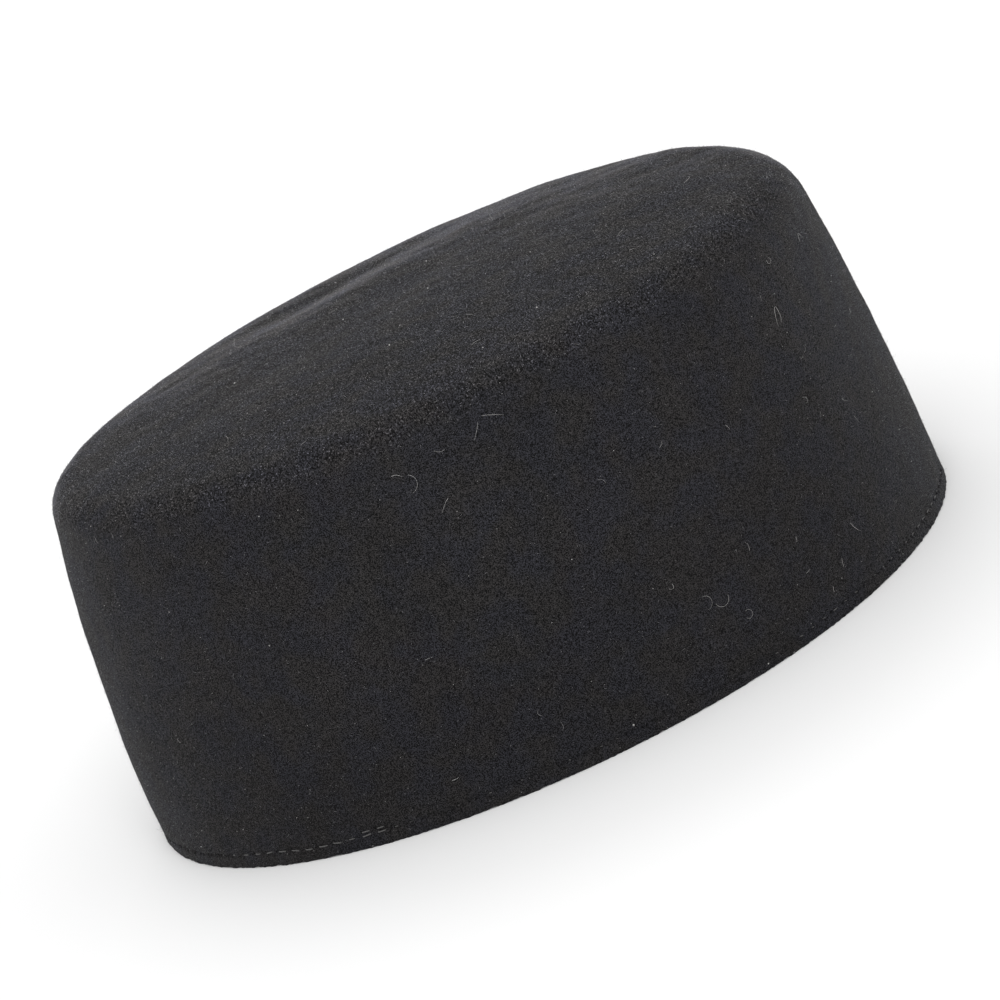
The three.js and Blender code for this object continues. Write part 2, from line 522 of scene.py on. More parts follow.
def scatter(points, normals, faces, count, rng):
    """Random places spread evenly by area over triangles, with their normals."""
    area = np.linalg.norm(area_vectors(points, faces), axis=1)
    chosen = rng.choice(len(faces), count, p=area / area.sum())
    u, v = rng.uniform(size=(2, count))
    over = u + v > 1
    u, v = np.where(over, 1 - u, u), np.where(over, 1 - v, v)
    weights = np.stack([1 - u - v, u, v], 1)[:, :, None]
    places = (points[faces[chosen]] * weights).sum(1)
    facing = (normals[faces[chosen]] * weights).sum(1)
    return places, unit(facing)


def tubes(paths, radii, sides):
    """One mesh of many tubes. paths is (tubes, steps, 3) and radii (tubes, steps). Each
    ring lies square to its path, and its corners count from one side direction, square to
    the path and to a fixed axis. Fans on their first corner close the ends."""
    count, steps, _ = paths.shape
    tangent = unit(np.gradient(paths, axis=1))
    helper = np.where(np.abs(tangent[:, :1, 2:]) > 0.8, [[[1.0, 0, 0]]], [[[0, 0, 1.0]]])
    across = unit(np.cross(tangent, helper))
    over = np.cross(tangent, across)
    angle = np.arange(sides) * 2 * np.pi / sides
    ring = across[:, :, None] * np.cos(angle)[:, None] + over[:, :, None] * np.sin(angle)[:, None]
    points = paths[:, :, None] + ring * np.broadcast_to(radii, (count, steps))[..., None, None]
    step, side = np.meshgrid(np.arange(steps - 1), np.arange(sides), indexing="ij")
    here, there = step * sides + side, step * sides + (side + 1) % sides
    quads = np.stack([here, there, there + sides, here + sides], -1).reshape(-1, 4)
    fan = np.arange(1, sides - 1)
    first = np.stack([0 * fan, fan + 1, fan], 1)
    last = np.stack([0 * fan, fan, fan + 1], 1) + (steps - 1) * sides
    ends = np.concatenate([first, last])
    own = np.arange(count)[:, None, None] * steps * sides
    return points.reshape(-1, 3), (own + quads).reshape(-1, 4), (own + ends).reshape(-1, 3)


def add_mesh(name, points, quads=None, triangles=None):
    """A new smooth mesh object from arrays, at the origin."""
    quads = np.zeros((0, 4), int) if quads is None else quads
    triangles = np.zeros((0, 3), int) if triangles is None else triangles
    mesh = bpy.data.meshes.new(name)
    mesh.vertices.add(len(points))
    mesh.vertices.foreach_set("co", np.asarray(points, np.float32).ravel())
    corners = np.concatenate([quads.ravel(), triangles.ravel()]).astype(np.int32)
    sizes = np.concatenate([np.full(len(quads), 4), np.full(len(triangles), 3)])
    mesh.loops.add(len(corners))
    mesh.loops.foreach_set("vertex_index", corners)
    mesh.polygons.add(len(sizes))
    starts = np.concatenate([[0], np.cumsum(sizes)[:-1]]).astype(np.int32)
    mesh.polygons.foreach_set("loop_start", starts)
    mesh.polygons.foreach_set("use_smooth", np.full(len(sizes), True))
    mesh.update(calc_edges=True)
    mesh.validate()
    piece = bpy.data.objects.new(name, mesh)
    bpy.context.scene.collection.objects.link(piece)
    return piece


def read_rows(items, key, width, kind):
    """An attribute of a mesh's items as an array with a row for each item."""
    rows = np.empty(len(items) * width, kind)
    items.foreach_get(key, rows)
    return rows.reshape(-1, width)


def add_piece(name, arrays, material):
    """A new piece of the hat with its material and its body."""
    piece = add_mesh(name, *arrays)
    piece.data.materials.append(material)
    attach(piece, BODY)
    return piece


# Stitch places, shared by the felt's dimples and the thread


def along_row(turn, name):
    """The row's waver or slack at turns round the oval, straight from spot to spot."""
    turns = [spot.turn for spot in ROW]
    values = [getattr(spot, name) for spot in ROW]
    return np.interp(np.degrees(turn), turns, values, period=360)


def rim_travel(sizes, height):
    """Turns round the oval and the distances travelled to them along the felt at a height,
    with the whole way round."""
    turn = np.linspace(0, 2 * np.pi, TRAVEL_STEPS + 1)
    section = wall_section(sizes, np.cos(turn))
    inset, _ = wall_profile(sizes, section, wall_share(sizes, height), 0.0)
    x, y = plan_place(sizes, turn, inset)
    travel = np.concatenate([[0], np.cumsum(np.hypot(np.diff(x), np.diff(y)))])
    return turn, travel


def stitch_runs(stitch, turns, travels):
    """The pitch at which whole stitches fill the way round, and the runs of stitches: the
    row all round, and the end that overlaps it. Each run has its rise above the row, its
    start along the rim and its number of stitches."""
    overlap = np.interp(math.radians(OVERLAP_TURN), turns, travels)
    whole = round(travels[-1] / stitch.pitch)
    runs = (
        {"rise": 0.0, "start": FIRST_STITCH, "count": whole},
        {"rise": stitch.overlap_rise, "start": overlap, "count": stitch.overlap_stitches},
    )
    return travels[-1] / whole, runs


def stitch_dimples(sizes, stitch, points):
    """How deep the stitches pull into the felt at points of the outer wall: a shallow
    trough along each stitch and a small round hole at each of its ends."""
    turns, travels = rim_travel(sizes, stitch.height)
    turn = np.arctan2(points[:, 1] / sizes.rim_width, points[:, 0] / sizes.rim_length)
    turn = turn % (2 * np.pi)
    travel = np.interp(turn, turns, travels)
    row = stitch.height + along_row(turn, "waver") * MM
    tight = 1 - SLACK_EASES * along_row(turn, "slack")
    pitch, runs = stitch_runs(stitch, turns, travels)
    depth = np.zeros(len(points))
    for run in runs:
        on = (travel - run["start"]) % travels[-1]
        number = np.floor(on / pitch)
        along = np.abs(on - (number + 0.5) * pitch)
        above = points[:, 2] - row - run["rise"]
        half = stitch.length / 2
        beyond = np.clip(along - half, 0, None)
        trough = np.exp(-((above / TROUGH_ACROSS) ** 2) - (beyond / TROUGH_PAST) ** 2)
        hole = np.exp(-(above**2 + (along - half - HOLE_PAST) ** 2) / HOLE_RADIUS**2)
        pull = TROUGH_DEPTH * trough * tight + HOLE_DEPTH * hole
        depth += (number < run["count"]) * pull
    return depth


# Materials


class Value:
    """A socket of a material's node tree that Python's operators work on."""

    def __init__(self, graph, socket):
        self.graph = graph
        self.socket = socket

    def __add__(self, other):
        return self.graph.maths("ADD", self, other)

    def __sub__(self, other):
        return self.graph.maths("SUBTRACT", self, other)

    def __mul__(self, other):
        return self.graph.maths("MULTIPLY", self, other)

    def __rsub__(self, other):
        return self.graph.maths("SUBTRACT", other, self)

    __radd__ = __add__
    __rmul__ = __mul__


class Graph:
    """A material's node tree, built from expressions."""

    def __init__(self, name):
        self.material = bpy.data.materials.new(name)
        self.material.use_nodes = True
        self.tree = self.material.node_tree
        self.tree.nodes.clear()

    def node(self, kind, settings=None, output=0, **inputs):
        """Adds a node: its type, its settings, and the values or links of its sockets,
        named in lower case with underscores. Returns one of its outputs."""
        made = self.tree.nodes.new(kind)
        for key, value in (settings or {}).items():
            setattr(made, key, value)
        for key, value in inputs.items():
            socket = self.find_socket(made, key)
            if isinstance(value, Value):
                self.tree.links.new(value.socket, socket)
            else:
                socket.default_value = value
        return Value(self, made.outputs[output])

    @staticmethod
    def find_socket(made, key):
        """An enabled input by its name, or by its number after the word input."""
        if key.startswith("input"):
            return made.inputs[int(key[5:])]
        for socket in made.inputs:
            if socket.enabled and socket.name.lower().replace(" ", "_") == key:
                return socket
        raise KeyError(key)

    def maths(self, operation, first, second=0.0):
        """A Math node."""
        settings = {"operation": operation}
        return self.node("ShaderNodeMath", settings, input0=first, input1=second)

    def ramp(self, value, low, high, start=0.0, end=1.0):
        """A value carried smoothly from one range to another and held at its ends."""
        settings = {"interpolation_type": "SMOOTHSTEP"}
        ends = {"from_min": low, "from_max": high, "to_min": start, "to_max": end}
        return self.node("ShaderNodeMapRange", settings, value=value, **ends)

    def noise(self, place, scale, detail=2.0, roughness=0.5, distortion=0.0):
        """Blender's noise at a place, from 0 to 1."""
        return self.node(
            "ShaderNodeTexNoise", vector=place, scale=scale, detail=detail,
            roughness=roughness, distortion=distortion,
        )

    def blend(self, factor, first, second):
        """A mix of two values."""
        return self.node("ShaderNodeMix", input0=factor, input2=first, input3=second)

    def height_ramp(self, place, low, high, start=0.0, end=1.0):
        """A value carried from one end to another by the height of a place."""
        height = self.node("ShaderNodeSeparateXYZ", output=2, input0=place)
        return self.ramp(height, low, high, start, end)

    def on_crown(self, place):
        """1 on the crown and 0 on the wall, by the height on the edge between."""
        return self.height_ramp(place, 77 * MM, 84 * MM)

    def brushed(self, place):
        """A place drawn together along the brush, so that noise there is drawn out."""
        dot = {"operation": "DOT_PRODUCT"}
        along = self.node("ShaderNodeVectorMath", dot, output=1, input0=place, input1=BRUSH)
        back = self.scaled(BRUSH, along * (1 - BRUSHED_SHARE))
        away = {"operation": "SUBTRACT"}
        return self.node("ShaderNodeVectorMath", away, input0=place, input1=back)

    def mix(self, factor, first, second):
        """A mix of two colours."""
        return self.node(
            "ShaderNodeMix", {"data_type": "RGBA"}, output=2,
            input0=factor, input6=first, input7=second,
        )

    def scaled(self, color, factor):
        """A colour made lighter or darker by a value."""
        settings = {"operation": "SCALE"}
        return self.node("ShaderNodeVectorMath", settings, input0=color, scale=factor)

    def principled(self, color, roughness, specular, **inputs):
        """A Principled shader with its colour, roughness and specular level, and more."""
        return self.node(
            "ShaderNodeBsdfPrincipled", base_color=color, roughness=roughness,
            specular_ior_level=specular, **inputs,
        )

    def finish(self, shader):
        """Ends the material with a shader."""
        output = self.tree.nodes.new("ShaderNodeOutputMaterial")
        self.tree.links.new(shader.socket, output.inputs["Surface"])
        return self.material


def felt_material(color):
    """Matte wool felt: dark matted wool with lighter raised fibres between, grain by
    grain, over a slow mottling of tone and tint. The crown has paler flecks. On the crown a
    much paler copy of the felt is mixed in at grazing angles, which is painted sheen, and the
    felt is darker towards the rim and lighter up the wall, which is painted shade."""
    graph = Graph("charcoal wool felt")
    place = graph.node("ShaderNodeTexCoord", output=3)
    crown = graph.on_crown(place)
    cloud = graph.noise(place, 38, 3, 0.55)
    clump = graph.noise(place, 1100, 2, 0.6)
    wall_grain = graph.noise(place, 4000, 1, 0.65)
    crown_grain = graph.noise(graph.brushed(place), 3100, 1, 0.65)
    grain = graph.blend(crown, wall_grain, crown_grain)
    bluish = (color[0] * 0.97, color[1] * 0.98, color[2] * 1.1, 1)
    brownish = (color[0] * 1.06, color[1] * 1.0, color[2] * 0.94, 1)
    tint = graph.ramp(graph.noise(place, 120, 2, 0.5), 0.35, 0.65)
    base = graph.mix(tint, bluish, brownish)
    fleck = graph.ramp(graph.noise(place, 2300, 2, 0.6), 0.59, 0.69, 0, 3.6) * crown
    light = 0.75 + cloud * 0.36 + clump * 0.14 + fleck - crown * 0.2
    # Darker towards the rim and lighter up the wall: painted shade.
    light = light * graph.height_ramp(place, 10 * MM, 62 * MM, 0.95, 1.12)
    height = clump * 0.2 + grain * 0.8
    normal = graph.node("ShaderNodeBump", strength=1.0, distance=0.4 * MM, height=height)
    # The third, much paler shader is painted sheen for grazing angles on the crown.
    matted, raised, painted_sheen = (
        graph.principled(
            graph.scaled(base, light * wool.tone), 0.96, 0.15, normal=normal,
            sheen_weight=wool.sheen, sheen_roughness=0.19, sheen_tint=(0.5, 0.5, 0.52, 1),
        )
        for wool in FELT_WOOL_AND_SHEEN
    )
    share = graph.ramp(clump * 0.12 + grain * 0.88, 0.41, 0.6)
    felt = graph.node("ShaderNodeMixShader", input0=share, input1=matted, input2=raised)
    # A much paler copy mixed in on the crown at grazing angles: painted sheen.
    grazing = graph.node("ShaderNodeLayerWeight", output=1, blend=0.5)
    painted_sheen_share = graph.ramp(grazing, 0.77, 0.92, 0, 0.5) * crown
    felt = graph.node("ShaderNodeMixShader", input0=painted_sheen_share, input1=felt, input2=painted_sheen)
    return graph.finish(felt)


def fibre_material(color):
    """Loose wool fibres: lighter than the felt, partly in their own colour and partly as
    painted sheen, each with its own tone. They are lightest on the crown and darker on the
    wall, which is painted light. A few are much paler."""
    graph = Graph("loose wool fibres")
    place = graph.node("ShaderNodeTexCoord", output=3)
    crown = graph.on_crown(place)
    tone = graph.ramp(graph.noise(place, 2600, 1), 0.38, 0.64, 0.25, 2.1)
    pale = graph.ramp(graph.noise(place, 1700, 0), 0.63, 0.69, 0, 6)
    # Lighter on the crown than on the wall: painted light on the crown's nap.
    tone = tone * (0.4 + crown * 0.7) + pale * (1 + crown * 0.5)
    shader = graph.principled(
        graph.scaled(tuple(color), tone), 0.8, 0.25,
        sheen_weight=0.25, sheen_roughness=0.4, sheen_tint=(0.6, 0.6, 0.62, 1),
    )
    return graph.finish(shader)


def thread_material(color):
    """Two-ply sewing thread: fine oblique bands of fibre across the twist."""
    graph = Graph("charcoal sewing thread")
    uv = graph.node("ShaderNodeUVMap", {"uv_map": "thread"})
    around, along = (
        graph.node("ShaderNodeSeparateXYZ", output=index, input0=uv) for index in range(2)
    )
    band = graph.maths("SINE", (around * 2 + along * 9) * (2 * math.pi))
    toned = graph.scaled(tuple(color), graph.ramp(band, -1, 1, 0.7, 1.3))
    normal = graph.node("ShaderNodeBump", strength=0.5, distance=0.05 * MM, height=band)
    shader = graph.principled(
        toned, 0.55, 0.4, normal=normal, sheen_weight=0.2, sheen_roughness=0.4,
    )
    return graph.finish(shader)


def lint_material(color):
    """Pale lint: dusty off-white with small changes of tone."""
    graph = Graph("pale lint")
    place = graph.node("ShaderNodeTexCoord", output=3)
    tone = graph.ramp(graph.noise(place, 240, 2), 0.25, 0.75, 0.45, 1.25)
    return graph.finish(graph.principled(graph.scaled(tuple(color), tone), 0.85, 0.3))


def floor_material(color):
    """A plain pale floor with a trace of unevenness in its tone."""
    graph = Graph("pale floor")
    place = graph.node("ShaderNodeTexCoord", output=3)
    tone = graph.ramp(graph.noise(place, 1.2, 2), 0.2, 0.8, 0.99, 1.01)
    return graph.finish(graph.principled(graph.scaled(tuple(color), tone), 0.9, 0.1))


# The felt


def felt_rings(sizes):
    """The rings of the felt's inner face and of its outer face, each from above the rim up
    to the crown's middle. The outer face starts at the second step of its fine band, over
    the rim's rounded corner."""
    band = wall_share(sizes, FINE_BAND)

    def run(zone, depth, shares, columns):
        turns = turns_round(columns)
        return [felt_place(sizes, turns, zone, share, depth) for share in shares]

    def face(depth, start, steps, columns):
        wall = run("wall", depth, np.linspace(start, 1, steps["wall"] + 1)[1:], columns)
        edge = run("edge", depth, np.linspace(0, 1, steps["edge"] + 1)[1:], columns)
        out = 1 - np.linspace(0, 1, steps["crown"] + 1)[1:-1]
        counts = np.select(
            [out > QUARTER_WITHIN, out > SIXTEENTH_WITHIN], [columns, columns // 4],
            columns // 16,
        )
        crown = [run("crown", depth, [1 - share], count)[0] for count, share in zip(counts, out)]
        return wall + edge + crown + run("crown", depth, [1.0], 1)

    fine = run("wall", 0, np.linspace(0, band, FINE_STEPS + 1)[2:], FINE_COLUMNS)
    outer = fine + face(0, band, OUTER_STEPS, COLUMNS)
    return face(sizes.thickness, 0, INNER_STEPS, INNER_COLUMNS), outer


def rim_rings(sizes):
    """The cut rim, from inside to outside: flat, with corners rounded by the shears."""
    angles = np.linspace(0, np.pi / 2, 3)
    inset = RIM_CORNER * (1 - np.cos(angles))
    height = RIM_CORNER * (1 - np.sin(angles))
    insets = [*(sizes.thickness - inset), sizes.thickness / 2, *inset[::-1]]
    heights = [*height, 0.0, *height[::-1]]
    rings = []
    for inset, height in zip(insets, heights):
        x, y = plan_place(sizes, turns_round(FINE_COLUMNS), inset)
        rings.append(np.stack([x, y, np.full_like(x, height)], 1))
    return rings


def moulded_lumps(sizes, points, rng):
    """How far the felt swells out at points: waves of a few lengths, summed, which fade
    out towards the rim."""
    total = sum(lump.share * waves(points, rng, lump.waves, lump.length) for lump in FELT_LUMPS)
    return sizes.unevenness * total * np.clip(points[:, 2] / LUMPS_FADE, 0, 1)


def cut_by_hand(points, normals, rng):
    """The points with the rim as shears leave it: it wavers along the felt's normals, and
    where a slow wave is high a shallow nick rises from the surface below."""
    waver = waves(points, rng, 60, CUT_WAVELENGTH) * CUT_WAVER * (points[:, 2] < CUT_TOP)
    points = points + normals * waver[:, None]
    low = np.clip(1 - points[:, 2] / NICK_TOP, 0, 1)
    nicks = np.clip(waves(points, rng, 40, NICK_WAVELENGTH, 0.25) - 0.5, 0, 2.2)
    points[:, 2] = np.maximum(points[:, 2] + low * nicks * NICK_DEPTH, 0)
    return points


class HAT_OT_felt(bpy.types.Operator):
    """Build the moulded felt with its unevenness, stitch dimples and cut rim"""

    bl_idname = "pillbox.felt"
    bl_label = "Felt"

    def execute(self, context):
        sizes, stitch = context.scene.hat_felt, context.scene.hat_stitches
        inner, outer = felt_rings(sizes)
        inside = inner[::-1] + rim_rings(sizes)
        points, faces = skin_rings(inside + outer)
        normals = vertex_normals(points, faces)
        rng = np.random.default_rng(FELT_SEED)
        points = points + normals * moulded_lumps(sizes, points, rng)[:, None]
        outer_face = slice(sum(len(ring) for ring in inside), None)
        dimples = stitch_dimples(sizes, stitch, points[outer_face])
        points[outer_face] -= normals[outer_face] * dimples[:, None]
        points = cut_by_hand(points, normals, rng)
        material = felt_material(sizes.felt_color)
        felt = add_piece("felt", (points, None, faces), material)
        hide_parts("felt_hat")
        return {"FINISHED"}


def felt_surface():
    """Points and normals of the finished felt, and the triangles of its outer face, above
    the rim."""
    mesh = bpy.data.objects["felt"].data
    mesh.calc_loop_triangles()
    points = read_rows(mesh.vertices, "co", 3, float)
    faces = read_rows(mesh.loop_triangles, "vertices", 3, np.int32)
    normals = vertex_normals(points, faces)
    middles = points[faces].mean(1)
    facing = normals[faces].mean(1)
    centre = np.array([0, 0, points[:, 2].max() / 2])
    outer = ((middles - centre) * facing).sum(1) > 0
    return points, normals, faces[outer & (middles[:, 2] > CLEAR_OF_RIM)]


# The nap


def nap_zone(places):
    """The part of the nap that each place belongs to: 0 on the crown, and from 1 the
    quarters of the wall in their order."""
    angle = np.degrees(np.arctan2(places[:, 1] / HAT_HIGH.y, places[:, 0] / HAT_HIGH.x))
    quarter = np.select(
        [np.abs(angle) < 45, np.abs(angle) > 135, angle < 0], [1, 2, 3], default=4,
    )
    return np.where(places[:, 2] > CROWN_START * HAT_HIGH.z, 0, quarter)


class HAT_OT_nap(bpy.types.Operator):
    """Raise the nap: short straight fibres in the felt, and fewer long ones that bend"""

    bl_idname = "pillbox.nap"
    bl_label = "Nap"

    def execute(self, context):
        nap = context.scene.hat_nap
        points, normals, faces = felt_surface()
        material = fibre_material(nap.fibre_color)
        zones = nap_zone(points[faces].mean(1))
        pieces = [("crown", 0, nap.crown_fibres), ("crown_under", 0, nap.crown_fibres)]
        for quarter, name in enumerate(WALL_QUARTERS):
            pieces.append((name, quarter + 1, nap.wall_fibres))
        for index, (name, zone, count) in enumerate(pieces):
            rng = np.random.default_rng(NAP_SEED + index)
            roots, facing = scatter(points, normals, faces[zones == zone], count, rng)
            fibres = short_fibres(roots, facing, nap, rng)
            add_piece(f"nap_{name}", fibres, material)
        rng = np.random.default_rng(LONG_NAP_SEED)
        roots, facing = scatter(points, normals, faces, nap.long_fibres, rng)
        add_piece("nap_long", long_fibres(roots, facing, nap, rng), material)
        return {"FINISHED"}


def tangents(facing, rng):
    """A random direction in each place's tangent plane, and the one square to it."""
    side = rng.normal(size=facing.shape)
    side = unit(side - facing * (side * facing).sum(1)[:, None])
    return side, np.cross(facing, side)


def carried(roots, *moves):
    """Paths that start at roots. Each move has a direction for every root and how far the
    path has gone that way at each of its steps."""
    ways = (direction[:, None] * way[..., None] for direction, way in moves)
    return sum(ways, roots[:, None])


def short_fibres(roots, facing, nap, rng):
    """Straight spikes: three corners round a sunk root, and one tip along a slanted line.
    The power of 1.5 makes them an eighth to all of the longest, most of them short. None
    goes below the rim."""
    count = len(roots)
    side, cross = tangents(facing, rng)
    length = nap.length * rng.uniform(*SHORT_LENGTHS, count) ** 1.5
    lift = np.radians(rng.uniform(*SHORT_LIFTS, count))
    radius = nap.thickness / 2 * rng.uniform(*SHORT_WIDTHS, count)
    turn = np.arange(3) * 2 * np.pi / 3
    base = roots - facing * ROOT_DEPTH
    ring = (
        cross[:, None] * np.cos(turn)[:, None]
        + (facing * np.cos(lift)[:, None] - side * np.sin(lift)[:, None])[:, None]
        * np.sin(turn)[:, None]
    )
    corners = base[:, None] + ring * radius[:, None, None]
    tip = roots + (
        side * (length * np.cos(lift))[:, None] + facing * (length * np.sin(lift))[:, None]
    )
    points = np.concatenate([corners, tip[:, None]], 1)
    points[..., 2] = np.maximum(points[..., 2], nap.thickness)
    spike = np.array([[0, 1, 3], [1, 2, 3], [2, 0, 3], [0, 2, 1]])
    faces = spike[None] + np.arange(count)[:, None, None] * 4
    return points.reshape(-1, 3), None, faces.reshape(-1, 3)


def long_fibres(roots, facing, nap, rng):
    """Tubes of two straight lengths: each leaves its root at an angle, most of them low,
    bends sideways by the square of the way and back towards the felt, and tapers."""
    count = len(roots)
    side, cross = tangents(facing, rng)
    length = nap.long_length * rng.uniform(*LONG_LENGTHS, count)
    lift = LONG_LOWEST + (LONG_HIGHEST - LONG_LOWEST) * rng.uniform(0, 1, count) ** 2.5
    lift = np.radians(lift)
    curl = rng.normal(0, LONG_BEND, count) * length
    share = np.linspace(0, 1, 3)
    out = (length * np.sin(lift))[:, None] * np.array(LONG_RISE)
    out[:, 0] = -ROOT_DEPTH
    on = (length * np.cos(lift))[:, None] * share
    bend = curl[:, None] * share**2
    paths = carried(roots, (facing, out), (side, on), (cross, bend))
    paths[..., 2] = np.maximum(paths[..., 2], nap.thickness)
    return tubes(paths, nap.thickness / 2 * np.array(LONG_WIDTH)[None], 3)


# The stitches


class HAT_OT_stitches(bpy.types.Operator):
    """Sew the row of lockstitches round the rim, outside and inside"""

    bl_idname = "pillbox.stitches"
    bl_label = "Stitches"

    def execute(self, context):
        sizes, stitch = context.scene.hat_felt, context.scene.hat_stitches
        rng = np.random.default_rng(STITCH_SEED)
        paths = np.concatenate(
            [stitch_paths(sizes, stitch, depth, rng) for depth in (0.0, sizes.thickness)]
        )
        material = thread_material(stitch.thread_color)
        thread = thread_tubes(paths, stitch.thread / 2)
        piece = add_piece("rim_stitches", thread, material)
        add_thread_uv(piece.data)
        return {"FINISHED"}


def stitch_paths(sizes, stitch, depth, rng):
    """Paths of the stitches on one face. Each rises out of its hole, lies along the felt
    with a slight slant, and dives again: an arch that is flat on top."""
    turns, travels = rim_travel(sizes, stitch.height)
    pitch, runs = stitch_runs(stitch, turns, travels)
    shift = 0.5 if depth == 0 else 1.0
    middle = np.concatenate(
        [run["start"] + (np.arange(run["count"]) + shift) * pitch for run in runs]
    )
    over = np.concatenate([np.full(run["count"], run["rise"]) for run in runs])
    middle = middle + rng.normal(0, STITCH_WANDER, len(middle))
    share = np.linspace(-1, 1, THREAD_STEPS)
    along = middle[:, None] + share * (stitch.length / 2 + THREAD_PAST)
    turn = np.interp(along % travels[-1], travels, turns)
    slant = STITCH_SLANT + rng.normal(0, STITCH_WANDER, len(middle))
    waver = along_row(turn, "waver") * MM
    height = stitch.height + over[:, None] + waver + slant[:, None] * share
    slack = along_row(turn, "slack") + rng.normal(0, SLACK_WANDER, (len(middle), 1))
    rise = stitch.thread * (2 * slack - THREAD_SUNK) - THREAD_DIVE * np.abs(share) ** 7
    section = wall_section(sizes, np.cos(turn))
    inset, _ = wall_profile(sizes, section, wall_share(sizes, height), depth)
    inset = inset - rise if depth == 0 else inset + rise
    x, y = plan_place(sizes, turn, inset)
    return np.stack([x, y, height], -1)


def thread_tubes(paths, radius):
    """Tubes for the thread. The radius swells twice round each ring and turns along the
    stitch, which gives the two twisted plies."""
    count, steps, _ = paths.shape
    tight = np.full((count, steps), radius)
    points, quads, ends = tubes(paths, tight, THREAD_SIDES)
    around = np.arange(THREAD_SIDES) / THREAD_SIDES
    along = np.linspace(0, 1, steps)
    swell = 1 + PLY_SWELL * np.cos(4 * np.pi * (around[None] + along[:, None] * PLY_TURNS))
    middle = paths[:, :, None]
    points = middle + (points.reshape(count, steps, THREAD_SIDES, 3) - middle) * swell[..., None]
    return points.reshape(-1, 3), quads, ends


def add_thread_uv(mesh):
    """A UV map on the thread: once round across it, and once along for each stitch."""
    layer = mesh.uv_layers.new(name="thread")
    vertex = read_rows(mesh.loops, "vertex_index", 1, np.int32)[:, 0]
    own = vertex % (THREAD_SIDES * THREAD_STEPS)
    around = own % THREAD_SIDES / THREAD_SIDES
    along = own // THREAD_SIDES / (THREAD_STEPS - 1)
    layer.data.foreach_set("uv", np.stack([around, along], 1).astype(np.float32).ravel())


# The lint


class HAT_OT_lint(bpy.types.Operator):
    """Settle pale hairs and specks on the felt"""

    bl_idname = "pillbox.lint"
    bl_label = "Lint"

    def execute(self, context):
        sizes, lint = context.scene.hat_felt, context.scene.hat_lint
        points, normals, faces = felt_surface()
        outer = np.unique(faces)
        face = (points[outer], normals[outer])
        material = lint_material(lint.lint_color)
        rng = np.random.default_rng(LINT_SEED)
        drawn = [settled_hair(sizes, hair, face) for hair in LINT_HAIRS]
        roots, facing = scatter(points, normals, faces, lint.hairs, rng)
        paths = np.concatenate([drawn, loose_hairs(roots, facing, rng)])
        thick = rng.uniform(*LOOSE_RADII, (len(paths), 1)) * MM
        thick[: len(drawn)] = HAIR_RADIUS
        taper = 1 - 0.5 * np.linspace(0, 1, HAIR_STEPS) ** 3
        add_piece("lint_hairs", tubes(paths, thick * taper, 4), material)
        spots, marked = settle(on_felt(sizes, LINT_SPECKS), *face)
        roots, facing = scatter(points, normals, faces, lint.specks, rng)
        size = SPECK_SIZE * np.exp(rng.normal(0, SPECK_SPREAD, len(roots)))
        marked_size = np.array([speck.size for speck in LINT_SPECKS]) * MM
        places = (np.concatenate([roots, spots]), np.concatenate([facing, marked]))
        specks = speck_mesh(*places, np.concatenate([size, marked_size]), rng)
        add_piece("lint_specks", specks, material)
        return {"FINISHED"}


def settle(spots, points, normals):
    """Spots moved along the felt's normal on to its uneven face, with those normals."""
    nearest = [np.argmin(((points - spot) ** 2).sum(1)) for spot in spots]
    facing = normals[nearest]
    offset = ((points[nearest] - spots) * facing).sum(1)
    return spots + facing * offset[:, None], facing


def settled_hair(sizes, hair, face):
    """The path of a hair: an arc over the tangent plane where it starts, put on the felt's
    uneven face and lifted on to the nap, with its tip raised by the square of the way."""
    turn_step, up_step = 0.2, 0.005
    here = (hair.turn, hair.up)
    beside, above = (hair.turn + turn_step, hair.up), (hair.turn, hair.up + up_step)
    start, beside, above = on_felt(sizes, (here, beside, above))
    across, upwards = unit(beside - start), unit(above - start)
    share = np.linspace(0, 1, HAIR_STEPS)[:, None]
    heading = np.radians(hair.heading + hair.curl * share)
    step = hair.length * MM / (HAIR_STEPS - 1)
    path = start + np.cumsum((np.cos(heading) * across + np.sin(heading) * upwards) * step, 0)
    path, facing = settle(path, *face)
    return path + facing * (HAIR_LIFT + hair.tip * MM * share**2)


def loose_hairs(roots, facing, rng):
    """Curled hairs that hug the felt: a heading that drifts along the hair, laid on the
    tangent plane and lifted a little in the middle."""
    count = len(roots)
    side, cross = tangents(facing, rng)
    length = rng.uniform(*LOOSE_LENGTHS, count) * MM
    share = np.linspace(0, 1, HAIR_STEPS)
    drift, curl = (rng.normal(0, spread, (count, 1)) for spread in (LOOSE_TURN, LOOSE_CURL))
    heading = drift * share + curl * share**2
    step = (length / (HAIR_STEPS - 1))[:, None]
    on = np.cumsum(np.cos(heading) * step, 1)
    off = np.cumsum(np.sin(heading) * step, 1)
    lift = (LOOSE_LIFTS[0] + LOOSE_LIFTS[1] * np.sin(np.pi * share)) * MM
    return carried(roots, (side, on), (cross, off), (facing, lift[None]))


def speck_mesh(roots, facing, size, rng):
    """Specks: eight-sided grains, each stretched its own way and held up by the nap."""
    corners = np.array(
        [[1, 0, 0], [-1, 0, 0], [0, 1, 0], [0, -1, 0], [0, 0, 1], [0, 0, -1]], float,
    )
    shell = np.array(
        [[0, 2, 4], [2, 1, 4], [1, 3, 4], [3, 0, 4], [2, 0, 5], [1, 2, 5], [3, 1, 5], [0, 3, 5]],
    )
    count = len(roots)
    stretch = rng.uniform(0.6, 1.5, (count, 1, 3))
    jitter = rng.normal(0, 0.15, (count, 6, 3))
    points = (corners * stretch + jitter) * size[:, None, None]
    points = points + (roots + facing * size[:, None] * 1.6)[:, None]
    points[..., 2] = np.maximum(points[..., 2], 0)
    faces = shell[None] + np.arange(count)[:, None, None] * 6
    return points.reshape(-1, 3), None, faces.reshape(-1, 3)


# The stage


